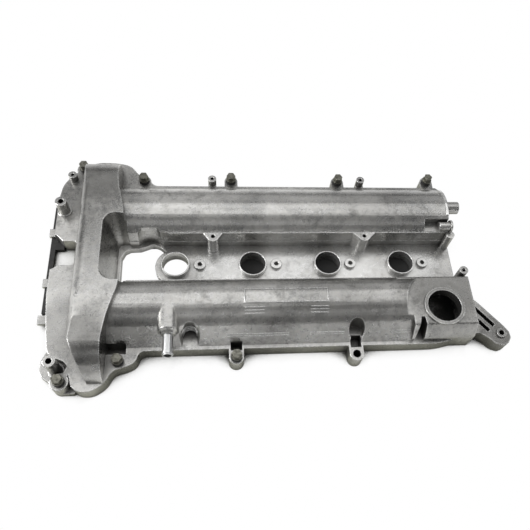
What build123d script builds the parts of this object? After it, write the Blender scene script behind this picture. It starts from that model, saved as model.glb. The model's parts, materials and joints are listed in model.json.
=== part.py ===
from build123d import *
from math import radians, tan
import os

# Die-cast valve cover of a four-cylinder engine with two camshafts, lying on its sealing face.
# The origin is on the axis of plug well 1, in the plane of the sealing face. X runs along the
# cover from the timing chain to the flywheel, Y runs to the back and Z runs up. All in millimetres.

# Casting walls and levels above the sealing face
wall = 3.2
plate_top = 9.0
plate_thickness = 4.0
skirt_height = 20.0
rail_width = 7.0
rail_step = 0.8

# Plug wells and the coil fixing bosses beside them
well_count = 4
well_pitch = 96.0
well_bore_radius = 16.0
well_rim_radius = 17.5
well_rim_height = 16.0
well_foot_radius = 22.5
coil_boss_offset = 30.1
coil_boss_y = 1.1
coil_boss_radius = 7.0
coil_boss_height = 13.0
coil_hole_radius = 2.9

# Skirt, seen from above
skirt_left = -147.0
skirt_right = 358.5
skirt_front = -117.0
skirt_back = 117.0
chain_front = -163.0
chain_back = 155.0

# Cam towers: distances from the row of wells, and heights
tower_left = -95.0
tower_right = 350.0
back_wall = 30.0
back_lip = 31.3
back_lip_height = 37.5
front_wall = 33.0
front_lip = 34.3
front_lip_height = 35.5
crest = 64.0
crest_height = 54.5
shoulder = 97.0
shoulder_height = 40.0
tower_foot = 112.5
lip_round = 1.6

# Arch over the timing chain
arch_left = -119.0
arch_left_top = -111.5
arch_height = 61.5
arch_back = 147.0
arch_front = -154.0
arch_right = -58.0
arch_end_wall = 10.5

# Well of the valley beside the arch, at the plate and at the top
pocket_right = -56.0
pocket_left_low = -70.5
pocket_left_high = -81.5
pocket_half_low = 31.5
pocket_half_high = 47.0
pocket_top = 66.0
window_margin = 4.5
window_left = -66.5
window_right = -12.0
window_clear_radius = 25.0
bulge_x = -30.5
bulge_y = 20.5
bulge_radius = 17.5

# Notch in the left edge
notch_front = -3.0
notch_back = 31.5
notch_chamfer = 9.0

# Cover bolts with their rubber grommets
back_bolts = [(-119.0, 143.0), (-42.0, 124.5), (71.6, 125.5), (216.5, 125.0), (343.5, 126.5)]
front_bolts = [(-121.0, -150.5), (-60.0, -128.5), (72.3, -127.3)]
empty_hole = (213.5, -127.3)
lug_radius = 8.6
bolt_hole_radius = 4.8
grommet_radius = 6.4
grommet_height = 4.5
grommet_bore_radius = 3.3
shank_radius = 3.0
flange_radius = 6.3
flange_height = 1.6
head_across_flats = 10.0
head_height = 7.2
bolt_end = 1.0
bolt_clearance_radius = 9.0

# Threaded posts on the outside
tall_posts = [(-138.0, 76.0, skirt_height), (-128.0, -134.0, 8.0)]
tall_post_top = 41.0
tall_post_radius = 6.8
tall_post_hole_radius = 3.4
small_posts = [(-131.5, 126.5), (46.7, 122.0), (247.0, 122.0)]
small_post_top = 30.0
small_post_radius = 5.3
small_post_hole_radius = 2.2
valley_posts = [(47.0, 12.0), (238.5, 14.5)]
valley_post_y = 26.0
valley_post_radius = 7.2
valley_post_hole_radius = 2.6

# Oil filler block
filler_x = 320.5
filler_y = -80.0
filler_bore_radius = 20.5
filler_neck_radius = 25.0
filler_neck_top = 48.0
block_left = 268.0
block_overlap = 40.0
block_top = 46.0
cap_clearance_radius = 47.0
block_back = 39.0
block_front = 103.0
block_lug_x = 356.0
block_lug_y = -30.0
block_lug_radius = 5.5
block_lug_hole_radius = 2.3

# Breather nipple in the front tower
nipple_x = -3.6
nipple_z = 40.0
nipple_radius = 5.7
nipple_bore_radius = 4.4
nipple_bead_radius = 6.5
nipple_end = -131.5
nipple_root = -96.0
nipple_boss_radius = 12.0
nipple_boss_end = -107.0

# Stub pipe and sensor barrel at the right end of the back tower
stub_y = 65.0
stub_z = 44.0
stub_radius = 8.0
stub_length = 17.0
stub_bore_radius = 5.0
barrel_y = 37.0
barrel_z = 42.0
barrel_radius = 6.0
barrel_left = 337.0
barrel_right = 354.0
barrel_seat_left = 318.0
barrel_seat_back = 44.0
barrel_seat_height = 38.5
rail_lug_x = 353.0
rail_lug_y = 27.5
rail_lug_radius = 5.5

# Bracket arm at the front right corner
lance_x = 19.5
recess_rise = 20.0
arm_boss_x = 397.0
arm_boss_y = -106.0
arm_boss_radius = 6.2
arm_hole_radius = 3.3
arm_channel_width = 5.0
arm_channel_floor = 6.0

# Bare name plate cast on the front tower
plate_left = 82.0
plate_right = 180.0
plate_front = -75.0
plate_back = -56.5
plate_line = 1.6
plate_relief = 0.9

# Seals
seal_depth = 2.5
seal_width = 3.5
seal_margin = 2.0
seal_bolt_gap = 0.9
strip_outer = -154.5
strip_inner = -148.5
strip_height = 5.0
strip_front = -60.0
strip_back = 93.0
web_width = 3.0
strip_tabs = [51.0, -21.0, -70.0]
tab_width = 11.0
tab_length = 9.5
tab_height = 4.0

# Breather baffles inside the towers
baffle_thickness = 1.5
baffle_level = 22.0
baffle_inner = 38.0
back_baffle_outer = 104.0
front_baffle_outer = 86.0
baffle_lip = 5.0
back_baffle_span = (-5.0, 335.0)
front_baffle_span = (-45.0, 268.0)
screw_boss_radius = 4.5
screw_radius = 2.0
screw_head_radius = 4.0
screw_head_height = 2.4
screw_depth = 9.0
screws_per_baffle = 4

sky = 100.0
speck = 0.02


def smooth(points, largest=80.0):
    """Closed face through an outline whose corners are as round as their sides allow."""
    corners = [Vector(*point) for point in points]
    radii = []
    for number, corner in enumerate(corners):
        before = corner - corners[number - 1]
        after = corners[(number + 1) % len(corners)] - corner
        turn = radians(before.get_angle(after))
        radii.append(min(largest, 0.45 * min(before.length, after.length) / tan(turn / 2)))
    return make_face(FilletPolyline(*points, radius=radii, close=True))


def shrink(face, amount):
    """The same outline, smaller all round, without the specks that such an offset can leave."""
    smaller = offset(face, amount=-amount).face().outer_wire()
    return make_face(smaller.fix_degenerate_edges(speck).edges())


def prism(points, bottom, top, corner=0.0):
    """Upright solid over a closed outline, with its corners rounded."""
    face = make_face(Polyline(*points, close=True))
    if corner > 0:
        face = fillet(face.vertices(), corner)
    return extrude(Pos(0, 0, bottom) * face, amount=top - bottom)


def block(x, y, z):
    """Box between two values on each axis."""
    size = (x[1] - x[0], y[1] - y[0], z[1] - z[0])
    centre = ((x[0] + x[1]) / 2, (y[0] + y[1]) / 2, (z[0] + z[1]) / 2)
    return Pos(*centre) * Box(*size)


def post(x, y, bottom, top, radius):
    """Upright cylinder."""
    return Pos(x, y, (bottom + top) / 2) * Cylinder(radius, top - bottom)


def along_x(y, z, start, end, radius):
    """Cylinder that lies along the cover."""
    return Pos((start + end) / 2, y, z) * Rot(0, 90, 0) * Cylinder(radius, end - start)


def along_y(x, z, start, end, radius):
    """Cylinder that lies across the cover."""
    return Pos(x, (start + end) / 2, z) * Rot(90, 0, 0) * Cylinder(radius, end - start)


def well_axes():
    return [well_pitch * number for number in range(well_count)]


def skirt_outline():
    """Edge of the sealing face, from the back left corner round to the front left corner."""
    points = [
        (skirt_left, chain_back - 60), (skirt_left + 3, chain_back - 37),
        (skirt_left + 13.5, chain_back - 22), (-120, chain_back - 9.5), (-104, chain_back),
        (-78, chain_back - 0.5), (-60, chain_back - 5), (-50, chain_back - 20), (-36, skirt_back + 10),
        (-29, skirt_back), (skirt_right - 3, skirt_back), (skirt_right, skirt_back - 3),
        (skirt_right, skirt_front + 12), (skirt_right - 25, skirt_front + 4),
        (skirt_right - 45, skirt_front), (-37, skirt_front), (-41, skirt_front - 13),
        (-50, skirt_front - 18), (-66, skirt_front - 22), (-73, chain_front + 9),
        (-87, chain_front), (-100, chain_front), (-109, chain_front + 7),
        (-112, skirt_front - 22), (-117, skirt_front - 10), (skirt_left + 9, skirt_front - 2),
        (skirt_left + 2.5, skirt_front + 48), (skirt_left, skirt_front + 75),
    ]
    return smooth(points)


def skirt(inset, bottom, top):
    face = skirt_outline()
    if inset > 0:
        face = shrink(face, inset)
    return extrude(Pos(0, 0, bottom) * face, amount=top - bottom)


def tower_section(wall_foot, lip, lip_height, inset):
    """Section of a cam tower: a lip, a rounded crown and a steep outer wall."""
    crown = (crest, crest_height)
    corner = (shoulder, shoulder_height)
    lines = [
        TangentArc(crown, (lip, lip_height), tangent=(-1, 0)),
        Line((lip, lip_height), (wall_foot, 0)),
        Line((wall_foot, 0), (tower_foot, 0)),
        Line((tower_foot, 0), (tower_foot, skirt_height)),
        Line((tower_foot, skirt_height), corner),
        TangentArc(crown, corner, tangent=(1, 0)),
    ]
    face = make_face(lines)
    rounded = face.vertices().filter_by_position(Axis.Y, lip_height - 1, lip_height + 1)
    face = fillet(rounded.sort_by(Axis.X)[0], lip_round)
    if inset > 0:
        face = offset(face, amount=-inset, kind=Kind.INTERSECTION)
    return face


def back_tower(inset, left, right):
    section = tower_section(back_wall, back_lip, back_lip_height, inset)
    return extrude(Plane.YZ.offset(left) * section, amount=right - left)


def front_tower(inset, left, right):
    section = tower_section(front_wall, front_lip, front_lip_height, inset)
    return mirror(extrude(Plane.YZ.offset(left) * section, amount=right - left), about=Plane.XZ)


def arch(inset):
    """Hump over the timing chain: its two sections and its plan, met together."""
    across = make_face([
        Polyline((-48, 0), (arch_left, 0), (arch_left, skirt_height), (arch_left_top, arch_height - 15)),
        ThreePointArc((arch_left_top, arch_height - 15), (-107.5, arch_height - 5.5), (-97, arch_height - 1)),
        ThreePointArc((-97, arch_height - 1), (-85, arch_height), (-48, arch_height - 4)),
        Line((-48, arch_height - 4), (-48, 0)),
    ])
    front = arch_front + (arch_end_wall - inset if inset > 0 else 0)
    lengthwise = make_face([
        Polyline((arch_back, skirt_height), (arch_back, 0), (front, 0), (front, skirt_height)),
        ThreePointArc((front, skirt_height), (front + 12, arch_height - 18), (-108, arch_height - 5)),
        ThreePointArc((-108, arch_height - 5), (0, arch_height + 2), (102, arch_height - 4.5)),
        ThreePointArc((102, arch_height - 4.5), (arch_back - 15, arch_height - 18), (arch_back, skirt_height)),
    ])
    plan = smooth([
        (arch_left, arch_back - 22), (-112, arch_back), (-90, arch_back + 6), (-70, arch_back),
        (-69, 112), (-66, 87), (arch_right, 52), (arch_right, -50), (-69, -88), (-73.5, -112),
        (-74.5, arch_front - 8), (-88, arch_front - 8), (-99, arch_front + 17), (-108, -114), (-116, -82),
        (arch_left, -50)])
    if inset > 0:
        across = offset(across, amount=-inset, kind=Kind.INTERSECTION)
        lengthwise = offset(lengthwise, amount=-inset, kind=Kind.INTERSECTION)
        plan = shrink(plan, inset)
    hump = extrude(Plane.XZ.offset(-arch_back - 5) * across, amount=arch_back - arch_front + 10)
    hump = hump & extrude(Plane.YZ.offset(arch_left - 5) * lengthwise, amount=80)
    foot = skirt_height - wall - rail_step if inset > 0 else 0
    return hump & extrude(Pos(0, 0, foot) * plan, amount=sky)


def filler_block(inset):
    """Flat-topped end of the front tower that carries the oil filler."""
    section = make_face(Polyline(
        (front_wall, 0), (block_back, block_top), (block_front, block_top),
        (tower_foot, skirt_height + 8), (tower_foot, 0), close=True))
    section = fillet(section.vertices().sort_by(Axis.Y)[-2:], 2.5)
    if inset > 0:
        section = offset(section, amount=-inset, kind=Kind.INTERSECTION)
    length = skirt_right - block_left - inset
    return mirror(extrude(Plane.YZ.offset(block_left) * section, amount=length), about=Plane.XZ)


def cap_clearance(grow):
    """Round cut in the end of the front tower that leaves room for a hand on the filler cap."""
    floor = block_top - grow
    room = post(filler_x, filler_y, floor, sky, cap_clearance_radius + grow)
    return room + block((filler_x, skirt_right + 40), (-tower_foot - 20, -front_wall + 20), (floor, sky))


def pocket_section(level, left, half, grow, corner):
    low = (left - grow, -half - grow)
    high = (pocket_right + grow, half + grow)
    face = make_face(Polyline(low, (high[0], low[1]), high, (low[0], high[1]), close=True))
    face = fillet(face.vertices().sort_by(Axis.X)[0:2], corner + grow)
    return Pos(0, 0, level) * face


def valley(grow):
    """Space between the towers, with its deep end beside the arch and the bulge in the back wall."""
    floor = plate_top - (plate_thickness if grow > 0 else 0)
    trough = block((pocket_right - 5, skirt_right + 40), (-front_wall - grow, back_wall + grow), (floor, sky))
    deep_end = loft([
        pocket_section(floor, pocket_left_low, pocket_half_low, grow, 7.0),
        pocket_section(pocket_top, pocket_left_high, pocket_half_high, grow, 16.0),
    ])
    bulge = post(bulge_x, bulge_y, floor, sky, bulge_radius + grow)
    return trough + deep_end + bulge


def notch(grow):
    """Gap in the left edge, open down to the sealing face."""
    face = make_face(Polyline(
        (skirt_left - 20, notch_front - 5 - grow), (skirt_left + 2, notch_front - 5 - grow),
        (skirt_left + 8, notch_front - grow), (arch_left + grow, notch_front - grow),
        (arch_left + grow, notch_back + grow), (skirt_left + 2 + notch_chamfer, notch_back + grow),
        (skirt_left + 3, notch_back + notch_chamfer + grow),
        (skirt_left - 20, notch_back + notch_chamfer + grow), close=True))
    corners = face.vertices().sort_by(Axis.X)[-2:]
    face = fillet(corners, 5.0)
    return extrude(Pos(0, 0, -1) * face, amount=skirt_height + 1.01)


def recesses(grow):
    """Clearances in the front wall beside the bolts and for a spanner."""
    floor = 6.0 - grow
    ledge = skirt_height + 0.01 - grow
    foot = (lance_x, -shoulder - 14, ledge + recess_rise / 2)
    room = Pos(*foot) * Cone(8.6 + grow, 18.0 + grow, recess_rise)
    room += post(empty_hole[0], -101.5, ledge, sky, 9.5 + grow)
    room += block((empty_hole[0] - 6.5 - grow, empty_hole[0] + 6.5 + grow), (-119, -104 + grow), (floor, sky))
    room += block((65.8 - grow, 79.2 + grow), (-119, -109.5 + grow), (floor, skirt_height + 8))
    room += block((-74 - grow, -52 + grow), (-120, -109 + grow), (floor, skirt_height + 10))
    wedge = [(281 - grow, -125), (297.5 + grow, -125), (294.5 + grow, -93 + grow), (290 - grow, -93 + grow)]
    return room + prism(wedge, ledge, sky)


def lugs():
    """Bolt columns, each with a web back to the skirt."""
    shapes = []
    for x, y in back_bolts[1:] + front_bolts[1:] + [empty_hole]:
        wall_y = skirt_back - 4 if y > 0 else skirt_front + 4
        shapes.append(post(x, y, 0, skirt_height, lug_radius))
        shapes.append(block((x - lug_radius, x + lug_radius), sorted((y, wall_y)), (0, skirt_height)))
    for x, y in (back_bolts[0], front_bolts[0]):
        shapes.append(post(x, y, 0, skirt_height, lug_radius + 1.5))
    return shapes


def corner_ear():
    """Low corner at the front left, with the web that ties its bolt column to the arch."""
    ear = prism([
        (-141, -108), (-147, -122), (-147.5, -134), (-144, -140.5), (-135, -147), (-127, -156.5),
        (-119, -160.5), (-107, -160.5), (-100, -150), (-106, -118)], 0, tall_posts[1][2], 3.0)
    web = prism([(-121, -147), (-112, -128), (-107, -131), (-116, -151)], 0, skirt_height)
    return ear + web


def outside_posts():
    shapes = []
    for x, y, base in tall_posts:
        shapes.append(post(x, y, base - 1, tall_post_top, tall_post_radius))
        shapes.append(post(x, y, base - 1, base + 2, tall_post_radius + 2))
    for x, y in small_posts:
        shapes.append(post(x, y, 0, small_post_top, small_post_radius))
        shapes.append(block((x - small_post_radius, x + small_post_radius), (y - 9, y), (0, skirt_height)))
    return shapes


def valley_post_shapes():
    shapes = []
    for x, half_width in valley_posts:
        shapes.append(post(x, valley_post_y, plate_top - 1, back_lip_height, valley_post_radius))
        gusset = [
            (x - half_width, back_lip + 2), (x - half_width, back_lip - 0.5),
            (x - valley_post_radius * 0.7, valley_post_y - valley_post_radius * 0.7),
            (x + valley_post_radius * 0.7, valley_post_y - valley_post_radius * 0.7),
            (x + half_width, back_lip - 0.5), (x + half_width, back_lip + 2)]
        shapes.append(prism(gusset, back_lip_height - 6, back_lip_height))
    x, half_width = valley_posts[1]
    gusset = [
        (x - half_width, back_wall + 2), (x, valley_post_y - valley_post_radius),
        (x + half_width, back_wall + 2)]
    shapes.append(prism(gusset, plate_top - 1, back_lip_height))
    return shapes


def nipple_boss():
    body = along_y(nipple_x, nipple_z, nipple_boss_end + 5, -crest, nipple_boss_radius)
    tip = Pos(nipple_x, nipple_boss_end + 2.5, nipple_z) * Rot(90, 0, 0)
    return body + tip * Cone(nipple_boss_radius, nipple_radius + 2.5, 5)


def name_plate():
    """Raised border of the bare name plate."""
    section = tower_section(front_wall, front_lip, front_lip_height, 0)
    proud = offset(section, amount=plate_relief, kind=Kind.INTERSECTION)
    length = plate_right - plate_left + 10
    skin = mirror(extrude(Plane.YZ.offset(plate_left - 5) * proud, amount=length), about=Plane.XZ)
    outer = block((plate_left, plate_right), (plate_front, plate_back), (crest_height - 15, sky))
    inner = block((plate_left + plate_line, plate_right - plate_line),
                  (plate_front + plate_line, plate_back - plate_line), (0, sky + 10))
    return skin & (outer - inner)


def arm():
    """Flat bracket arm with two long channels and a round boss at its tip."""
    outline = [
        (skirt_right - 4, -42), (376, -62.5), (402.5, -95.5), (408, -104), (408.5, -112), (404, -119),
        (396, -122), (387, -118.5), (379, -110.5), (371, -105), (skirt_right - 4, -104)]
    plate = prism(outline, 0, skirt_height, 4.0)
    direction = Vector(402.5 - 376, -95.5 + 62.5)
    angle = Vector(1, 0).get_signed_angle(direction, Vector(0, 0, 1))
    channels = []
    for start, length in (((366.5, -65.5), 38.0), ((364.0, -78.5), 30.0)):
        centre = Vector(*start) + direction.normalized() * (length / 2)
        bar = Pos(centre.X, centre.Y, (arm_channel_floor + sky) / 2) * Rot(0, 0, angle)
        channels.append(bar * Box(length, arm_channel_width, sky - arm_channel_floor))
    for channel in channels:
        plate -= channel
    return plate + post(arm_boss_x, arm_boss_y, 0, skirt_height + 2.5, arm_boss_radius)


def right_end_fittings():
    stub = along_x(stub_y, stub_z, tower_right - 6, tower_right + stub_length, stub_radius)
    barrel = along_x(barrel_y, barrel_z, barrel_left, barrel_right, barrel_radius)
    ring = along_x(barrel_y, barrel_z, barrel_right - 2.5, barrel_right, barrel_radius + 2)
    rail_lug = post(rail_lug_x, rail_lug_y, 0, back_lip_height, rail_lug_radius)
    neck = block((tower_right - 2, tower_right + 4), (stub_y - 14, stub_y), (stub_z - 10, stub_z - 4))
    return [stub, barrel, ring, rail_lug, neck]


def barrel_seat(grow):
    """Step cut in the crown of the back tower under the sensor barrel."""
    return block((barrel_seat_left - grow, tower_right + 20), (0, barrel_seat_back + grow),
                 (barrel_seat_height - grow, sky))


def window_face():
    outline = make_face(Polyline(
        (window_left, -28), (window_left, 14), (window_left + 4, 22.5), (window_left + 10, 26),
        (-44, 26.5), (-38, 29), (-28, 33), (-20, 29.5), (window_right, 22), (window_right, -28), close=True))
    outline = fillet(outline.vertices(), 2.0)
    return outline - Circle(window_clear_radius)


def baffles():
    """Name, side, span along the tower and outer edge of each baffle."""
    back = ("back_baffle", 1, back_baffle_span, back_baffle_outer)
    front = ("front_baffle", -1, front_baffle_span, front_baffle_outer)
    return back, front


def screw_places(side, span, outer):
    """Places of a baffle's screws: two rows, staggered along the tower."""
    places = []
    for number in range(screws_per_baffle):
        x = span[0] + 20 + number * (span[1] - span[0] - 40) / (screws_per_baffle - 1)
        y = baffle_inner + 8 if number % 2 else outer - 12
        places.append((x, side * y))
    return places


def seal_ring():
    """Run of the perimeter seal in its groove, with two tongues out to the side strip."""
    path = skirt_outline()
    reach = bolt_hole_radius + seal_bolt_gap
    for x, y in back_bolts[:2] + front_bolts[1:2]:
        path -= Pos(x, y) * Circle(reach)
        path -= Pos(x, y + (15 if y > 0 else -15)) * Rectangle(2 * reach, 30)
    outer = shrink(path, seal_margin)
    inner = shrink(path, seal_margin + seal_width)
    ring = extrude(outer - inner, amount=seal_depth) - notch(0)
    inside = skirt_left + seal_margin + seal_width
    for y in (strip_back - 12, strip_front + 14):
        ring += block((skirt_left - 1, inside), (y - 4, y + 4), (0, seal_depth))
    return ring


def well_seal(x):
    ring = post(x, 0, 0, seal_depth, well_rim_radius + seal_width)
    return ring - post(x, 0, -1, seal_depth + 1, well_rim_radius + 0.3)


def outer_form():
    """Everything that the walls follow, as one solid body."""
    shape = skirt(0, 0, skirt_height) + [
        back_tower(0, tower_left, tower_right),
        front_tower(0, tower_left, block_left + block_overlap) - cap_clearance(0),
        filler_block(0), arch(0), nipple_boss(), name_plate()] + lugs()
    clearances = []
    for x, y in back_bolts + front_bolts:
        clearances.append(post(x, y, skirt_height, sky, bolt_clearance_radius))
    return shape - [valley(0), notch(0), recesses(0), barrel_seat(0)] - clearances


def inner_spaces():
    """Spaces under the cover, one wall inside the outer form."""
    spaces = [
        skirt(rail_width, -1, skirt_height - wall),
        back_tower(wall, tower_left, tower_right - wall),
        front_tower(wall, tower_left, block_left + block_overlap) - cap_clearance(wall),
        filler_block(wall), arch(wall)]
    walls = [valley(wall), notch(wall), recesses(wall), barrel_seat(wall)]
    for x, y in back_bolts + front_bolts:
        walls.append(post(x, y, skirt_height - wall, sky, bolt_clearance_radius + wall))
    return [space - walls for space in spaces]


def bosses():
    """Rims, posts and lugs that stand on the walls."""
    shapes = [extrude(offset(window_face(), amount=window_margin), amount=plate_top)]
    for x in well_axes():
        shapes.append(post(x, 0, 0, well_rim_height, well_rim_radius))
        shapes.append(post(x, 0, 0, plate_top - plate_thickness + 1, well_foot_radius))
        coil_x = x + coil_boss_offset
        shapes.append(post(coil_x, coil_boss_y, plate_top - 6, coil_boss_height, coil_boss_radius))
    shapes.append(post(filler_x, filler_y, block_top - 10, filler_neck_top, filler_neck_radius))
    shapes.append(post(block_lug_x, block_lug_y, 0, block_top - 1, block_lug_radius))
    inside = back_tower(1, tower_left, tower_right) + front_tower(1, tower_left, tower_right)
    for name, side, span, outer in baffles():
        for x, y in screw_places(side, span, outer):
            shapes.append(inside & post(x, y, baffle_level, sky, screw_boss_radius))
    for y in strip_tabs:
        tab_x = (skirt_left - tab_length, skirt_left + 4)
        shapes.append(block(tab_x, (y - tab_width / 2, y + tab_width / 2), (strip_height, strip_height + tab_height)))
    return shapes + outside_posts() + valley_post_shapes() + right_end_fittings()


def bores():
    """Holes for the coils, bolts, hoses and screws, and the opening of the valley plate."""
    shapes = [extrude(Pos(0, 0, -1) * window_face(), amount=plate_top + 2)]
    for x in well_axes():
        shapes.append(post(x, 0, -1, well_rim_height + 1, well_bore_radius))
        shapes.append(well_seal(x))
        shapes.append(post(x + coil_boss_offset, coil_boss_y, 4, coil_boss_height + 1, coil_hole_radius))
    shapes.append(post(filler_x, filler_y, skirt_height, sky, filler_bore_radius))
    shapes.append(post(block_lug_x, block_lug_y, block_top - 20, sky, block_lug_hole_radius))
    for x, y in back_bolts + front_bolts + [empty_hole]:
        shapes.append(post(x, y, -1, skirt_height + 1, bolt_hole_radius))
    for x, y, base in tall_posts:
        shapes.append(post(x, y, base + 2, tall_post_top + 1, tall_post_hole_radius))
    for x, y in small_posts:
        shapes.append(post(x, y, small_post_top - 14, small_post_top + 1, small_post_hole_radius))
    for x, half_width in valley_posts:
        shapes.append(post(x, valley_post_y, back_lip_height - 18, back_lip_height + 1, valley_post_hole_radius))
    shapes.append(along_x(stub_y, stub_z, tower_right - 8, tower_right + stub_length + 1, stub_bore_radius))
    shapes.append(post(arm_boss_x, arm_boss_y, -1, sky, arm_hole_radius))
    shapes.append(along_y(nipple_x, nipple_z, nipple_boss_end - 1, nipple_root + 4, nipple_radius))
    for name, side, span, outer in baffles():
        for x, y in screw_places(side, span, outer):
            shapes.append(post(x, y, baffle_level - 1, baffle_level + screw_depth, screw_radius))
    return shapes


def cover_casting():
    shape = outer_form()
    for space in inner_spaces():
        shape -= space
    shape = shape + bosses() + [corner_ear(), arm()]
    return shape - bores() - seal_ring()


def perimeter_gasket():
    strip = block((strip_outer, strip_inner), (strip_front, strip_back), (0, strip_height))
    beside = block((strip_inner, skirt_left), (strip_front, strip_back), (0, strip_height)) - notch(0)
    web_x = (strip_inner, skirt_left + notch_chamfer)
    web = notch(0) & block(web_x, (notch_back - web_width, notch_back + notch_chamfer), (0, strip_height))
    return seal_ring() + [strip, beside, web]


def cover_bolt(x, y):
    seat = skirt_height + grommet_height
    shank = post(x, y, bolt_end, seat, shank_radius)
    flange = post(x, y, seat, seat + flange_height, flange_radius)
    hexagon = RegularPolygon(head_across_flats / 2, 6, major_radius=False)
    head = extrude(Pos(x, y, seat + flange_height) * hexagon, amount=head_height - flange_height)
    return shank + [flange, head]


def grommet(x, y):
    """Rubber bush: a collar under the bolt head and a neck down the hole."""
    collar = post(x, y, skirt_height, skirt_height + grommet_height, grommet_radius)
    neck = post(x, y, 6, skirt_height, bolt_hole_radius)
    return collar + neck - post(x, y, 0, sky, grommet_bore_radius)


def hose_nipple():
    shape = along_y(nipple_x, nipple_z, nipple_end, nipple_root, nipple_radius)
    shape += along_y(nipple_x, nipple_z, nipple_end + 1.5, nipple_end + 4.5, nipple_bead_radius)
    return shape - along_y(nipple_x, nipple_z, nipple_end - 1, nipple_root + 1, nipple_bore_radius)


def baffle(side, span, outer):
    """Pressed plate with a turned-down lip, slots for the oil to drain and screw holes."""
    bottom = baffle_level - baffle_thickness
    low, high = sorted((side * baffle_inner, side * outer))
    shape = block(span, (low, high), (bottom - baffle_lip, baffle_level))
    inset = baffle_thickness
    shape -= block((span[0] + inset, span[1] - inset), (low + inset, high - inset), (bottom - 10, bottom))
    for number in range(3):
        x = span[0] + 60 + number * (span[1] - span[0] - 120) / 2
        shape -= block((x - 9, x + 9), (side * crest - 2, side * crest + 2), (bottom - 1, baffle_level + 1))
    for x, y in screw_places(side, span, outer):
        shape -= post(x, y, bottom - 1, baffle_level + 1, screw_radius + 0.3)
    return shape


def baffle_screw(x, y):
    bottom = baffle_level - baffle_thickness
    shank = post(x, y, bottom, baffle_level + screw_depth - 1, screw_radius)
    return shank + post(x, y, bottom - screw_head_height, bottom, screw_head_radius)


def build():
    nodes = {"cover_casting": cover_casting(), "perimeter_gasket": perimeter_gasket()}
    for number, x in enumerate(well_axes(), start=1):
        nodes[f"plug_well_seal_{number}"] = well_seal(x)
    for number, (x, y) in enumerate(back_bolts + front_bolts, start=1):
        nodes[f"cover_bolt_{number}"] = cover_bolt(x, y)
        nodes[f"bolt_grommet_{number}"] = grommet(x, y)
    nodes["hose_nipple"] = hose_nipple()
    for name, side, span, outer in baffles():
        nodes[name] = baffle(side, span, outer)
        for number, (x, y) in enumerate(screw_places(side, span, outer), start=1):
            nodes[f"{name}_screw_{number}"] = baffle_screw(x, y)
    os.makedirs("parts", exist_ok=True)
    for name, shape in nodes.items():
        export_step(shape, f"parts/{name}.step")
        print(name, len(shape.solids()), round(shape.volume))


build()
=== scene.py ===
import bpy
import json
from math import radians, sin, cos
from mathutils import Matrix, Vector


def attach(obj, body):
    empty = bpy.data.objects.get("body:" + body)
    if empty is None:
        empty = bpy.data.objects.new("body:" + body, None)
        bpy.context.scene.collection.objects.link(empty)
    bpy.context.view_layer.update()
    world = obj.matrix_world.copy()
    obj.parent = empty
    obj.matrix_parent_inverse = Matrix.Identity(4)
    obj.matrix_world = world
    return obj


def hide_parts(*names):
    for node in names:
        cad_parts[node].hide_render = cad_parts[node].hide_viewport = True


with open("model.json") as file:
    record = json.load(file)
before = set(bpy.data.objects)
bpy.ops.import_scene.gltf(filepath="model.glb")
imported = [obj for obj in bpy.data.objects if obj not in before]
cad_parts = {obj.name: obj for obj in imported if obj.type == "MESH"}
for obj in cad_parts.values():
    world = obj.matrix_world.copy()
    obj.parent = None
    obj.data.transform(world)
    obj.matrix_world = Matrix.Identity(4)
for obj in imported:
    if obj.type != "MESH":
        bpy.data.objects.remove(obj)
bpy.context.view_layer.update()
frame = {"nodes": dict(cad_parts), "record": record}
print("frame loaded", len(frame["nodes"]), "nodes")

mm = 0.001


# Node helpers

def newMaterial(name):
    material = bpy.data.materials.new(name)
    material.use_nodes = True
    tree = material.node_tree
    shader = tree.nodes["Principled BSDF"]
    return material, tree, shader


def objectPlace(tree):
    return tree.nodes.new("ShaderNodeTexCoord").outputs["Object"]


def grey(value):
    return (value, value, value)


def setInput(tree, socket, value):
    if isinstance(value, bpy.types.NodeSocket):
        tree.links.new(value, socket)
    elif isinstance(value, tuple):
        socket.default_value = (*value, 1.0)
    else:
        socket.default_value = value


def noise(tree, place, scale, detail, rough, distortion=0.0, stretch=(1, 1, 1)):
    # stretch squeezes the pattern along an axis
    mapping = tree.nodes.new("ShaderNodeMapping")
    mapping.inputs["Scale"].default_value = stretch
    tree.links.new(place, mapping.inputs["Vector"])
    node = tree.nodes.new("ShaderNodeTexNoise")
    node.inputs["Scale"].default_value = scale
    node.inputs["Detail"].default_value = detail
    node.inputs["Roughness"].default_value = rough
    node.inputs["Distortion"].default_value = distortion
    tree.links.new(mapping.outputs["Vector"], node.inputs["Vector"])
    return node.outputs["Fac"]


def spread(tree, source, span, first=grey(0), last=grey(1)):
    # goes from one colour to the other while the source goes through the span
    node = tree.nodes.new("ShaderNodeValToRGB")
    tree.links.new(source, node.inputs["Fac"])
    for element, position, colour in zip(node.color_ramp.elements, span, (first, last)):
        element.position = position
        element.color = (*colour, 1.0)
    return node.outputs["Color"]


def mixColours(tree, factor, first, second):
    node = tree.nodes.new("ShaderNodeMix")
    node.data_type = "RGBA"
    node.clamp_factor = True
    setInput(tree, node.inputs[0], factor)
    setInput(tree, node.inputs[6], first)  # 6 and 7 are the colour sockets
    setInput(tree, node.inputs[7], second)
    return node.outputs[2]


def maths(tree, operation, first, second=0.0):
    node = tree.nodes.new("ShaderNodeMath")
    node.operation = operation
    setInput(tree, node.inputs[0], first)
    setInput(tree, node.inputs[1], second)
    return node.outputs["Value"]


def bump(tree, height, strength, distance, normal=None):
    node = tree.nodes.new("ShaderNodeBump")
    node.inputs["Strength"].default_value = strength
    node.inputs["Distance"].default_value = distance
    tree.links.new(height, node.inputs["Height"])
    if normal is not None:
        tree.links.new(normal, node.inputs["Normal"])
    return node.outputs["Normal"]


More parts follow.
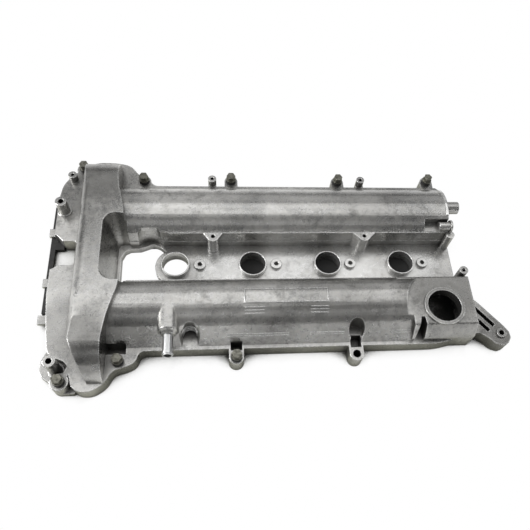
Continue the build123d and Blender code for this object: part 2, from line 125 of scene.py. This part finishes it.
def roundedEdges(tree, radius, samples=6):
    node = tree.nodes.new("ShaderNodeBevel")
    node.samples = samples
    node.inputs["Radius"].default_value = radius
    return node.outputs["Normal"]


def openness(tree, reach, inside=False, samples=6):
    # 1 in the open and less in corners, or with inside, less where an outer edge is near
    node = tree.nodes.new("ShaderNodeAmbientOcclusion")
    node.samples = samples
    node.inside = inside
    node.inputs["Distance"].default_value = reach
    return node.outputs["AO"]


def nearness(tree, place, centre, reach):
    # 0 at the centre and 1 at the reach
    away = tree.nodes.new("ShaderNodeVectorMath")
    away.operation = "DISTANCE"
    tree.links.new(place, away.inputs[0])
    away.inputs[1].default_value = [value * mm for value in centre]
    return maths(tree, "DIVIDE", away.outputs["Value"], reach * mm)


# Bare die-cast aluminium, stained by oil and heat, with painted shade in its corners, on the filler block
# and in the recess beside the nipple, painted highlights on its outer edges and painted light on the valley
# plate

castAluminium = {
    "bright": (0.62, 0.615, 0.60),
    "dull": (0.36, 0.36, 0.357),
    # light colour of worn edges with painted highlights, and of painted light on the valley plate
    "wornAndLit": (0.86, 0.86, 0.85),
    # dark colour of dirt and stains, and of painted shade in corners, on the filler block and in the recess
    "stainAndShade": (0.075, 0.073, 0.068),
    "warm": (0.56, 0.54, 0.49),
    "metallic": 0.9,
    "broad": {"scale": 14, "detail": 6, "rough": 0.62, "distortion": 0.6},
    "fine": {"scale": 150, "detail": 8, "rough": 0.72},
    "grain": {"scale": 900, "detail": 3, "rough": 0.5},
    "brightSpan": (0.35, 0.62),
    "warmSpan": (0.42, 0.75),
    "warmShare": 0.5,
    "edgeRadius": 1.2 * mm,
    "fineBump": (0.30, 0.5 * mm),
    "grainBump": (0.40, 0.12 * mm),
    "fineInRough": 0.6,
    "broadInRough": 0.4,
    "roughSpan": (0.3, 0.7),
    "smoothest": 0.20,
    "roughest": 0.36,
    "dirtAndShadeRough": 0.50,
    "wornAndLitRough": 0.24,
    "dirtAndShade": {
        "blots": {"scale": 60, "detail": 10, "rough": 0.85, "distortion": 0.3},
        "blotSpan": (0.50, 0.64),
        "blotDepth": 0.7,
        "regions": {"scale": 11, "detail": 4, "rough": 0.6},
        "regionSpan": (0.42, 0.60),
        "cleanest": 0.08,
        "runs": {"scale": 70, "detail": 2, "rough": 0.4, "distortion": 3.0},
        "runMiddle": 0.5,
        "runSpan": (0.003, 0.014),
        "runDepth": 0.6,
        "runPlaces": {"scale": 22, "detail": 3, "rough": 0.5},
        "runPlaceSpan": (0.5, 0.6),
        "specks": {"scale": 420, "detail": 3, "rough": 0.6},
        "speckSpan": (0.64, 0.72),
        "speckDepth": 0.55,
        # painted shade in the corners: its reach, span and evenness
        "paintedShadeReach": 16 * mm,
        "paintedShadeSpan": (0.25, 0.72),
        "paintedShadeEven": 0.45,
    },
    "wearAndHighlight": {
        "reach": 2.2 * mm,
        "span": (0.45, 0.85),
        "depth": 0.85,
        "patchSpan": (0.35, 0.6),
        "patchLeast": 0.35,
    },
    "cloudEdge": {"span": (0.45, 1.0), "middle": 0.5, "ragged": 0.7},
    "clouds": [  # centre and reach in mm, depth and tone
        # darker clouds at given places
        ((-95.0, 100.0, 60.0), 64.0, 0.55, "stainAndShade"),
        ((-95.0, -112.0, 45.0), 50.0, 0.55, "stainAndShade"),
        ((-85.0, 10.0, 61.0), 60.0, 0.30, "stainAndShade"),
        ((-128.0, -90.0, 20.0), 50.0, 0.30, "stainAndShade"),
        ((-135.0, 95.0, 20.0), 36.0, 0.35, "stainAndShade"),
        ((-45.0, -100.0, 30.0), 34.0, 0.50, "stainAndShade"),
        ((200.0, -80.0, 52.0), 80.0, 0.30, "stainAndShade"),
        ((110.0, -106.0, 24.0), 44.0, 0.40, "stainAndShade"),
        # painted shade on the top of the filler block
        ((325.0, -62.0, 46.0), 74.0, 0.66, "stainAndShade"),
        # darker clouds at given places
        ((395.0, -105.0, 20.0), 45.0, 0.65, "stainAndShade"),
        ((250.0, 90.0, 48.0), 70.0, 0.30, "stainAndShade"),
        # small darker spots, the second in the recess beside the nipple, where it is painted shade
        ((213.5, -101.5, 34.0), 13.0, 0.80, "stainAndShade"),
        ((20.0, -97.0, 26.0), 15.0, 0.70, "stainAndShade"),
        # painted light: lighter clouds on the valley plate
        ((60.0, 2.0, 9.0), 42.0, 0.45, "wornAndLit"),
        ((140.0, 2.0, 9.0), 42.0, 0.45, "wornAndLit"),
        ((225.0, 0.0, 9.0), 42.0, 0.40, "wornAndLit"),
        ((305.0, 0.0, 9.0), 42.0, 0.35, "wornAndLit"),
    ],
}


def dirtAndShadeMask(tree, place, fine, look):
    # cloudy dirt, thicker in some regions, with dried runs and drops, and painted shade in the corners
    blots = noise(tree, place, **look["blots"])
    blots = spread(tree, blots, look["blotSpan"], last=grey(look["blotDepth"]))
    regions = noise(tree, place, **look["regions"])
    regions = spread(tree, regions, look["regionSpan"], first=grey(look["cleanest"]))
    blots = maths(tree, "MULTIPLY", blots, regions)

    runs = maths(tree, "SUBTRACT", noise(tree, place, **look["runs"]), look["runMiddle"])
    runs = maths(tree, "ABSOLUTE", runs)
    runs = spread(tree, runs, look["runSpan"], grey(look["runDepth"]), grey(0))
    runPlaces = spread(tree, noise(tree, place, **look["runPlaces"]), look["runPlaceSpan"])
    runs = maths(tree, "MULTIPLY", runs, runPlaces)

    specks = noise(tree, place, **look["specks"])
    specks = spread(tree, specks, look["speckSpan"], last=grey(look["speckDepth"]))
    dirtAndShade = maths(tree, "MAXIMUM", blots, maths(tree, "MAXIMUM", runs, specks))

    # painted shade: darker in the corners and crevices, where shade falls, a little uneven
    paintedShade = spread(tree, openness(tree, look["paintedShadeReach"]), look["paintedShadeSpan"], grey(1), grey(0))
    paintedShade = maths(tree, "MULTIPLY", paintedShade, maths(tree, "ADD", fine, look["paintedShadeEven"]))
    return maths(tree, "MAXIMUM", dirtAndShade, paintedShade)


def withClouds(tree, place, fine, base, look):
    # larger darker or lighter clouds with ragged edges at given places: painted light on the valley plate,
    # painted shade on the filler block and in the recess, darker clouds elsewhere
    edge = look["cloudEdge"]
    ragged = maths(tree, "SUBTRACT", fine, edge["middle"])
    ragged = maths(tree, "MULTIPLY", ragged, edge["ragged"])
    for centre, reach, depth, tone in look["clouds"]:
        near = maths(tree, "ADD", nearness(tree, place, centre, reach), ragged)
        near = spread(tree, near, edge["span"], grey(depth), grey(0))
        base = mixColours(tree, near, base, look[tone])
    return base


def wearAndHighlightMask(tree, fine, look):
    # outer edges brightened: wear from handling, and painted highlights along the edges
    outer = openness(tree, look["reach"], inside=True)
    wearAndHighlight = spread(tree, outer, look["span"], grey(look["depth"]), grey(0))
    patches = spread(tree, fine, look["patchSpan"], first=grey(look["patchLeast"]))
    return maths(tree, "MULTIPLY", wearAndHighlight, patches)


def makeCastAluminium(look):
    material, tree, shader = newMaterial("castAluminium")
    place = objectPlace(tree)
    broad = noise(tree, place, **look["broad"])
    fine = noise(tree, place, **look["fine"])
    grain = noise(tree, place, **look["grain"])
    dirtAndShade = dirtAndShadeMask(tree, place, fine, look["dirtAndShade"])
    wearAndHighlight = wearAndHighlightMask(tree, fine, look["wearAndHighlight"])

    base = mixColours(tree, spread(tree, broad, look["brightSpan"]), look["dull"], look["bright"])
    warmth = spread(tree, fine, look["warmSpan"], last=grey(look["warmShare"]))
    base = mixColours(tree, warmth, base, look["warm"])
    # dirt, and painted shade in the corners, in the dark colour
    base = mixColours(tree, dirtAndShade, base, look["stainAndShade"])
    base = withClouds(tree, place, fine, base, look)
    # worn edges, with painted highlights along them
    base = mixColours(tree, wearAndHighlight, base, look["wornAndLit"])
    tree.links.new(base, shader.inputs["Base Color"])

    rough = maths(tree, "ADD", maths(tree, "MULTIPLY", fine, look["fineInRough"]),
                  maths(tree, "MULTIPLY", broad, look["broadInRough"]))
    rough = spread(tree, rough, look["roughSpan"], grey(look["smoothest"]), grey(look["roughest"]))
    rough = mixColours(tree, dirtAndShade, rough, grey(look["dirtAndShadeRough"]))
    rough = mixColours(tree, wearAndHighlight, rough, grey(look["wornAndLitRough"]))
    tree.links.new(rough, shader.inputs["Roughness"])

    shader.inputs["Metallic"].default_value = look["metallic"]
    normal = bump(tree, fine, *look["fineBump"], roundedEdges(tree, look["edgeRadius"]))
    normal = bump(tree, grain, *look["grainBump"], normal)
    tree.links.new(normal, shader.inputs["Normal"])
    return material


# Zinc-plated bolts, gone dull and olive

dullZinc = {
    "light": (0.27, 0.265, 0.23),
    "dark": (0.10, 0.098, 0.082),
    "cloud": {"scale": 260, "detail": 6, "rough": 0.6, "distortion": 0.4},
    "cloudSpan": (0.35, 0.65),
    "roughSpan": (0.3, 0.7),
    "darkRough": 0.5,
    "lightRough": 0.3,
    "metallic": 0.9,
    "edgeRadius": 0.4 * mm,
    "fine": {"scale": 1500, "detail": 4, "rough": 0.5},
    "fineBump": (0.25, 0.05 * mm),
}

# Bright zinc tube of the breather nipple

brightTube = {
    "light": (0.78, 0.79, 0.80),
    "dark": (0.45, 0.45, 0.44),
    "cloud": {"scale": 300, "detail": 5, "rough": 0.6, "stretch": (1, 0.1, 1)},
    "cloudSpan": (0.3, 0.6),
    "roughSpan": (0.3, 0.7),
    "darkRough": 0.38,
    "lightRough": 0.2,
    "metallic": 1.0,
    "edgeRadius": 0.4 * mm,
    "fineBump": (0.15, 0.05 * mm),
}

# Black rubber of the gasket, seals and bushes

blackRubber = {
    "light": (0.035, 0.034, 0.033),
    "dark": (0.012, 0.012, 0.012),
    "cloud": {"scale": 180, "detail": 7, "rough": 0.7, "distortion": 0.5},
    "cloudSpan": (0.4, 0.7),
    "roughSpan": (0.3, 0.7),
    "darkRough": 0.5,
    "lightRough": 0.75,
    "metallic": 0.0,
    "fine": {"scale": 2200, "detail": 3, "rough": 0.5},
    "fineBump": (0.4, 0.08 * mm),
}

# Oily sheet steel of the baffles

oilySteel = {
    "light": (0.42, 0.41, 0.39),
    "dark": (0.16, 0.14, 0.11),
    "cloud": {"scale": 30, "detail": 7, "rough": 0.6, "distortion": 0.8},
    "cloudSpan": (0.3, 0.7),
    "roughSpan": (0.3, 0.7),
    "darkRough": 0.22,
    "lightRough": 0.45,
    "metallic": 0.9,
    "fine": {"scale": 400, "detail": 3, "rough": 0.5, "stretch": (0.03, 1, 1)},
    "fineBump": (0.15, 0.05 * mm),
}


def makeCloudedFinish(name, look):
    # two tones in clouds, with the roughness that goes with them, and a fine relief
    material, tree, shader = newMaterial(name)
    place = objectPlace(tree)
    cloud = noise(tree, place, **look["cloud"])
    tone = spread(tree, cloud, look["cloudSpan"], look["dark"], look["light"])
    rough = spread(tree, cloud, look["roughSpan"], grey(look["darkRough"]), grey(look["lightRough"]))
    tree.links.new(tone, shader.inputs["Base Color"])
    tree.links.new(rough, shader.inputs["Roughness"])
    shader.inputs["Metallic"].default_value = look["metallic"]
    normal = roundedEdges(tree, look["edgeRadius"]) if "edgeRadius" in look else None
    relief = noise(tree, place, **look["fine"]) if "fine" in look else cloud
    normal = bump(tree, relief, *look["fineBump"], normal)
    tree.links.new(normal, shader.inputs["Normal"])
    return material


looks = {
    "cast_aluminium": makeCastAluminium(castAluminium),
    "zinc_bolts": makeCloudedFinish("dullZinc", dullZinc),
    "bright_tube": makeCloudedFinish("brightTube", brightTube),
    "rubber": makeCloudedFinish("blackRubber", blackRubber),
    "pressed_plate": makeCloudedFinish("oilySteel", oilySteel),
}
print("finishes made")


def dressNodes():
    for part in frame["record"]["subparts"]:
        piece = frame["nodes"][part["node"]]
        for slot in piece.material_slots:
            slot.material = looks[part["material_slot"]]
        if not piece.material_slots:
            piece.data.materials.append(looks[part["material_slot"]])
    print("nodes dressed")


# Tools for the pieces, whose sizes are in mm

seedSize = 1 * mm


def openForEditing(piece):
    bpy.ops.object.select_all(action="DESELECT")
    bpy.context.view_layer.objects.active = piece
    piece.select_set(True)
    bpy.ops.object.mode_set(mode="EDIT")
    bpy.ops.mesh.select_all(action="SELECT")


def finishPiece(piece, slot):
    piece.data.materials.clear()
    piece.data.materials.append(looks[slot])
    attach(piece, "root")


def drawOutline(name, points):
    # a closed outline drawn corner by corner, then filled
    points = [Vector(point) * mm for point in points]
    bpy.ops.object.select_all(action="DESELECT")
    bpy.ops.mesh.primitive_plane_add(size=seedSize, location=points[0])
    piece = bpy.context.object
    piece.name = name
    bpy.ops.object.transform_apply(location=True)
    bpy.ops.object.mode_set(mode="EDIT")
    bpy.ops.mesh.select_all(action="SELECT")
    bpy.ops.mesh.merge(type="CENTER")
    for before, after in zip(points, points[1:]):
        bpy.ops.mesh.extrude_vertices_move(TRANSFORM_OT_translate={"value": after - before})
    bpy.ops.mesh.select_all(action="SELECT")
    bpy.ops.mesh.edge_face_add()
    return piece


def sweepOutline(name, points, sweep, endRound=0.0, endSteps=1):
    # the outline drawn out along the sweep, its far end rounded where asked
    piece = drawOutline(name, points)
    bpy.ops.mesh.extrude_region_move(TRANSFORM_OT_translate={"value": Vector(sweep) * mm})
    if endRound:
        bpy.ops.mesh.bevel(offset=endRound * mm, segments=endSteps)
    bpy.ops.mesh.select_all(action="SELECT")
    bpy.ops.mesh.normals_make_consistent(inside=False)
    bpy.ops.object.mode_set(mode="OBJECT")
    return piece


def sweepAcross(name, section, span):
    # a section seen from the side, drawn out along the cover
    start, end = span
    return sweepOutline(name, [(start, y, z) for y, z in section], (end - start, 0, 0))


def arc(centre, radius, start, end, step):
    angles = [radians(angle) for angle in range(start, end + step, step)]
    return [(centre[0] + radius * cos(angle), centre[1] + radius * sin(angle)) for angle in angles]


def halfRound(centre, radius, foot, step):
    # a half circle on a straight-sided foot
    x = centre[0]
    return [(x + radius, foot)] + arc(centre, radius, 0, 180, step) + [(x - radius, foot)]


def mend(skin, tool, operation):
    bpy.ops.object.select_all(action="DESELECT")
    bpy.context.view_layer.objects.active = skin
    skin.select_set(True)
    change = skin.modifiers.new("mend", "BOOLEAN")
    change.operation = operation
    change.object = tool
    change.solver = "EXACT"
    bpy.ops.object.modifier_apply(modifier="mend")
    bpy.data.objects.remove(tool)


# Lip of the back tower over the bulge of the valley

lipPatch = {
    "span": (-45.5, -15.5),
    "section": [(35.6, 35.0), (35.6, 42.6), (38.0, 44.8), (40.0, 46.2), (41.0, 46.0), (41.0, 35.0)],
}


def straightenLip(skin, look):
    mend(skin, sweepAcross("lipPatch", look["section"], look["span"]), "UNION")


# Front of the filler block, cut back to the slope of the tower

towerSlope = [(-90.6, 45.72), (-93.0, 43.86), (-95.0, 42.0), (-97.0, 40.0), (-112.5, 20.0)]
blockFront = {
    "cut": (260.0, 281.3),
    "air": [(-125.0, 20.0), (-125.0, 60.0), (-90.6, 60.0)],
    "patch": (266.0, 282.0),
    "wall": [(-112.5, 16.0), (-109.3, 16.0), (-93.8, 36.8), (-88.0, 42.0)],
}


def cutBlockFront(skin, look):
    mend(skin, sweepAcross("blockCut", towerSlope + look["air"], look["cut"]), "DIFFERENCE")
    mend(skin, sweepAcross("blockWall", towerSlope + look["wall"], look["patch"]), "UNION")


# Recess in the front tower beside the nipple

lanceRecess = {
    "backing": [(-103.0, 14.0), (-89.6, 14.0), (-89.6, 42.5), (-92.8, 42.5), (-97.0, 36.0), (-103.0, 20.0)],
    "backingSpan": (8.0, 32.0),
    "mouth": -125.0,
    "centre": (19.95, -101.3),
    "radius": 8.6,
    "arcStep": 20,
    "floor": 20.05,
    "top": 60.0,
}


def cutLanceRecess(skin, look):
    mend(skin, sweepAcross("recessBacking", look["backing"], look["backingSpan"]), "UNION")
    floor = look["floor"]
    plan = halfRound(look["centre"], look["radius"], look["mouth"], look["arcStep"])
    room = sweepOutline("recessRoom", [(x, y, floor) for x, y in plan], (0, 0, look["top"] - floor))
    mend(skin, room, "DIFFERENCE")


# Shield over the nipple, which the tower's dome cuts to a pointed outline

nippleShield = {
    "back": -60.0,
    "front": -104.5,
    "endRound": 2.4,
    "endSteps": 4,
    "foot": 36.0,
    "centre": (-3.6, 42.5),
    "radius": 11.7,
    "arcStep": 15,
}


def addNippleShield(skin, look):
    section = halfRound(look["centre"], look["radius"], look["foot"], look["arcStep"])
    back = look["back"]
    sweep = (0, look["front"] - back, 0)
    outline = [(x, back, z) for x, z in section]
    mend(skin, sweepOutline("nippleShield", outline, sweep, look["endRound"], look["endSteps"]), "UNION")


# The casting as one closed skin, with the small radii that its mould gave it

castingSkin = {
    "seam": 0.002 * mm,
    "flat": radians(0.4),
    "division": (-88.3, 356.0, 13.1),
    "sharp": radians(32),
    "radius": 0.7 * mm,
    "steps": 2,
    "flatWeight": 60,
}


def divideAlong(division):
    # even cuts along the cover, so that long faces are shaded evenly
    start, end, step = division
    for number in range(int((end - start) / step) + 1):
        bpy.ops.mesh.select_all(action="SELECT")
        bpy.ops.mesh.bisect(plane_co=((start + number * step) * mm, 0, 0), plane_no=(1, 0, 0))


def roundEdges(skin, look):
    rounding = skin.modifiers.new("mouldRadii", "BEVEL")
    rounding.limit_method = "ANGLE"
    rounding.angle_limit = look["sharp"]
    rounding.width = look["radius"]
    rounding.segments = look["steps"]
    rounding.use_clamp_overlap = True
    bpy.ops.object.modifier_apply(modifier="mouldRadii")


def shadeFlatsFlat(skin, look):
    bpy.ops.object.shade_smooth_by_angle(angle=look["sharp"])
    flats = skin.modifiers.new("flatFaces", "WEIGHTED_NORMAL")
    flats.mode = "FACE_AREA"
    flats.weight = look["flatWeight"]
    flats.keep_sharp = True
    bpy.ops.object.modifier_apply(modifier="flatFaces")


def makeCastingSkin(look):
    source = frame["nodes"]["cover_casting"]
    mesh = source.data.copy()
    mesh.transform(source.matrix_world)
    skin = bpy.data.objects.new("castingSkin", mesh)
    bpy.context.collection.objects.link(skin)
    openForEditing(skin)
    bpy.ops.mesh.remove_doubles(threshold=look["seam"])
    bpy.ops.object.mode_set(mode="OBJECT")

    straightenLip(skin, lipPatch)
    cutBlockFront(skin, blockFront)
    cutLanceRecess(skin, lanceRecess)
    addNippleShield(skin, nippleShield)
    print("casting mended", len(skin.data.polygons), "faces")

    openForEditing(skin)
    bpy.ops.mesh.remove_doubles(threshold=look["seam"])
    bpy.ops.mesh.dissolve_limited(angle_limit=look["flat"])
    divideAlong(look["division"])
    bpy.ops.object.mode_set(mode="OBJECT")
    roundEdges(skin, look)
    shadeFlatsFlat(skin, look)
    finishPiece(skin, "cast_aluminium")
    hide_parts("cover_casting")
    print("casting skin", len(skin.data.polygons), "faces")


# Fine raised lines cast on the slope, on the lips and under the name plate

castLines = {
    "foot": 0.4,
    "proud": 0.7,
    "half": 0.6,
    "topShare": 0.6,
    "slopePlace": (-104.36, 30.5),
    "slopeGap": 1.35,
    "slopeSpans": [(60.6, 133.0), (158.0, 199.0), (256.0, 279.0)],
    "lips": [
        ((-8.0, 344.0), (31.1, 37.2), (-1.0, 0.5)),
        ((-54.0, 266.0), (-34.1, 35.2), (1.0, 0.5)),
    ],
    "crownPlaces": [-79.5, -82.7, -85.9],
    "crownSpans": [(82.5, 105.0), (158.5, 179.5)],
}
towerCrown = {"middle": 64.0, "height": 9.7, "radius": 44.8}


def castLine(name, span, place, outward, look):
    # a rib of trapezoid section, its foot sunk into the wall
    outward = Vector(outward).normalized()
    place = Vector(place)
    foot = Vector((outward.y, -outward.x)) * look["half"]
    top = foot * look["topShare"]
    sunk, proud = outward * look["foot"], outward * look["proud"]
    corners = [place - foot - sunk, place - top + proud, place + top + proud, place + foot - sunk]
    finishPiece(sweepAcross(name, corners, span), "cast_aluminium")


def makeCastLines(look):
    shoulder, foot = Vector(towerSlope[-2]), Vector(towerSlope[-1])
    down = (foot - shoulder).normalized()
    outward = Vector((down.y, -down.x))
    for span in look["slopeSpans"]:
        for side in (-1, 1):
            place = Vector(look["slopePlace"]) + down * look["slopeGap"] * side
            castLine("slopeLine", span, place, outward, look)
    for span, place, outward in look["lips"]:
        castLine("lipLine", span, place, outward, look)
    middle, radius = -towerCrown["middle"], towerCrown["radius"]
    for span in look["crownSpans"]:
        for y in look["crownPlaces"]:
            outward = Vector((y - middle, (radius ** 2 - (y - middle) ** 2) ** 0.5))
            castLine("crownLine", span, Vector((middle, towerCrown["height"])) + outward, outward, look)
    print("cast lines made")


# Rim round the right end of the back tower

endRim = {"span": (346.4, 349.9), "proud": 1.3, "depth": 1.2, "turn": (-21, 42, 7)}


def makeEndRim(look):
    centre = Vector((towerCrown["middle"], towerCrown["height"]))
    start, end, step = look["turn"]
    turns = [radians(turn) for turn in range(start, end + step, step)]
    outer, inner = towerCrown["radius"] + look["proud"], towerCrown["radius"] - look["depth"]
    section = [centre + outer * Vector((sin(turn), cos(turn))) for turn in turns]
    section += [centre + inner * Vector((sin(turn), cos(turn))) for turn in reversed(turns)]
    finishPiece(sweepAcross("endRim", section, look["span"]), "cast_aluminium")
    print("end rim made")


# Raised half rings round the recess, their open side cut straight

recessRings = {
    "levels": (23.5, 28.0, 32.5),
    "radius": 8.0,
    "thickness": 0.9,
    "roundSteps": 64,
    "sectionSteps": 12,
}


def makeRecessRings(look):
    x, y = lanceRecess["centre"]
    for level in look["levels"]:
        bpy.ops.object.select_all(action="DESELECT")
        bpy.ops.mesh.primitive_torus_add(
            location=(x * mm, y * mm, level * mm),
            major_segments=look["roundSteps"],
            minor_segments=look["sectionSteps"],
            major_radius=look["radius"] * mm,
            minor_radius=look["thickness"] * mm)
        ring = bpy.context.object
        ring.name = "recessRing"
        bpy.ops.object.transform_apply(location=True)
        bpy.ops.object.mode_set(mode="EDIT")
        bpy.ops.mesh.select_all(action="SELECT")
        bpy.ops.mesh.bisect(plane_co=(0, y * mm, 0), plane_no=(0, 1, 0), clear_inner=True, use_fill=True)
        bpy.ops.object.mode_set(mode="OBJECT")
        bpy.ops.object.shade_smooth_by_angle(angle=castingSkin["sharp"])
        finishPiece(ring, "cast_aluminium")
    print("recess rings made")


# Camera where the photograph was taken

view = {
    "place": (57.7 * mm, -360.5 * mm, 615.8 * mm),
    "down": 62.94,
    "turn": 14.93,
    "roll": 12.3,
    "lens": 37.63,
    "sensor": 36,
    "shift": (-0.0440, 0.0818),
    "nearest": 10 * mm,
}


def makeCamera(look):
    down, turn, roll = radians(look["down"]), radians(look["turn"]), radians(look["roll"])
    level = Vector((sin(turn), cos(turn), 0))
    side = Vector((cos(turn), -sin(turn), 0))
    forward = cos(down) * level - Vector((0, 0, sin(down)))
    above = sin(down) * level + Vector((0, 0, cos(down)))
    right = cos(roll) * side + sin(roll) * above
    up = -sin(roll) * side + cos(roll) * above
    data = bpy.data.cameras.new("photoCamera")
    data.lens = look["lens"]
    data.sensor_width = look["sensor"]
    data.shift_x, data.shift_y = look["shift"]
    data.clip_start = look["nearest"]
    camera = bpy.data.objects.new("photoCamera", data)
    bpy.context.collection.objects.link(camera)
    axes = Matrix((right, up, -forward)).transposed().to_4x4()
    camera.matrix_world = Matrix.Translation(look["place"]) @ axes
    bpy.context.scene.camera = camera
    print("camera set")


# Pale floor, with painted shadow near the object

paleFloor = {
    "size": 8.0,
    "place": (0.1, 0, -0.5 * mm),
    "colour": (0.62, 0.62, 0.53),
    # colour of the painted shadow
    "dark": (0.025, 0.025, 0.025),
    "rough": 0.9,
    "shadowReach": 60 * mm,
    "samples": 8,
    "shadeSpan": (0.30, 0.55),
    "seenSpan": (0.38, 0.56),
    "mirroredSpan": (0.80, 1.0),
    # painted light and shade under the valley: half width, parts along X and shift
    "valleyHalf": 32 * mm,
    "valleyParts": (-75 * mm, 48 * mm, 335 * mm),
    "valleyShift": 0.45,
}


def within(tree, value, low, high):
    above = maths(tree, "GREATER_THAN", value, low)
    return maths(tree, "MULTIPLY", above, maths(tree, "LESS_THAN", value, high))


def paintedLightAndShadeUnderValley(tree, nearby, look):
    # painted light and shade on the floor: the nearness to the object is shifted by place, so the floor is
    # white under the window and the first well, and painted dark under the other wells
    axes = tree.nodes.new("ShaderNodeSeparateXYZ")
    tree.links.new(objectPlace(tree), axes.inputs[0])
    x = axes.outputs["X"]
    across = maths(tree, "LESS_THAN", maths(tree, "ABSOLUTE", axes.outputs["Y"]), look["valleyHalf"])
    left, middle, right = look["valleyParts"]
    change = maths(tree, "SUBTRACT", within(tree, x, left, middle), within(tree, x, middle, right))
    change = maths(tree, "MULTIPLY", change, across)
    return maths(tree, "ADD", nearby, maths(tree, "MULTIPLY", change, look["valleyShift"]))


def whiteWhereSeen(tree, nearby, look):
    # white for the camera and in reflections, away from the object's shadow
    rays = tree.nodes.new("ShaderNodeLightPath")
    mirrored = maths(tree, "MAXIMUM", rays.outputs["Is Glossy Ray"], rays.outputs["Is Transmission Ray"])
    mirrored = maths(tree, "MULTIPLY", mirrored, spread(tree, nearby, look["mirroredSpan"]))
    direct = maths(tree, "MULTIPLY", rays.outputs["Is Camera Ray"], spread(tree, nearby, look["seenSpan"]))
    return maths(tree, "MAXIMUM", direct, mirrored)


def makeFloor(look):
    bpy.ops.object.select_all(action="DESELECT")
    bpy.ops.mesh.primitive_plane_add(size=look["size"], location=look["place"])
    floor = bpy.context.object
    floor.name = "studioFloor"
    bpy.ops.object.transform_apply(location=True)
    material, tree, shader = newMaterial("paleFloor")
    nearby = openness(tree, look["shadowReach"], samples=look["samples"])
    nearby = paintedLightAndShadeUnderValley(tree, nearby, look)
    # painted shadow: the floor's colour goes dark where the object stands close
    shade = spread(tree, nearby, look["shadeSpan"], look["dark"], look["colour"])
    tree.links.new(shade, shader.inputs["Base Color"])
    shader.inputs["Roughness"].default_value = look["rough"]
    glow = tree.nodes.new("ShaderNodeEmission")
    mix = tree.nodes.new("ShaderNodeMixShader")
    tree.links.new(whiteWhereSeen(tree, nearby, look), mix.inputs[0])
    tree.links.new(shader.outputs[0], mix.inputs[1])
    tree.links.new(glow.outputs[0], mix.inputs[2])
    tree.links.new(mix.outputs[0], tree.nodes["Material Output"].inputs["Surface"])
    floor.data.materials.append(material)
    print("floor laid")


# Soft studio light

studioLight = {
    "world": 0.13,
    "aim": (0.12, 0, 0.03),
    "lamps": [
        ("lampHigh", (0.12, 0.06, 1.22), (2.0, 0.28), 2.8),
        ("lampOverhead", (0.12, 0.52, 1.11), (2.0, 0.48), 4.0),
        ("lampBack", (0.12, 1.05, 0.62), (2.0, 0.60), 1.9),
        ("lampFront", (0.12, -0.72, 0.99), (2.0, 0.20), 0.8),
        ("lampFrontEdge", (0.12, -1.17, 0.30), (2.0, 0.05), 1.3),
        ("lampLeft", (-1.15, 0.0, 0.55), (0.6, 1.2), 17.0),
        ("lampRight", (1.4, 0.0, 0.55), (0.6, 1.2), 2.2),
    ],
}


def makeWorld(look):
    world = bpy.data.worlds.new("studioWorld")
    bpy.context.scene.world = world
    world.use_nodes = True
    tree = world.node_tree
    background = tree.nodes["Background"]
    background.inputs["Color"].default_value = (1, 1, 1, 1)
    seen = tree.nodes.new("ShaderNodeLightPath").outputs["Is Camera Ray"]
    tree.links.new(maths(tree, "MAXIMUM", seen, look["world"]), background.inputs["Strength"])


def makeLamps(look):
    for name, place, size, power in look["lamps"]:
        data = bpy.data.lights.new(name, "AREA")
        data.shape = "RECTANGLE"
        data.size, data.size_y = size
        data.energy = power
        lamp = bpy.data.objects.new(name, data)
        bpy.context.collection.objects.link(lamp)
        lamp.location = place
        direction = Vector(look["aim"]) - Vector(place)
        lamp.rotation_euler = direction.to_track_quat("-Z", "Y").to_euler()
    print("studio lit")


makeCamera(view)
makeFloor(paleFloor)
makeWorld(studioLight)
makeLamps(studioLight)
dressNodes()
makeCastingSkin(castingSkin)
makeCastLines(castLines)
makeEndRim(endRim)
makeRecessRings(recessRings)

bpy.context.scene.view_settings.view_transform = "Standard"
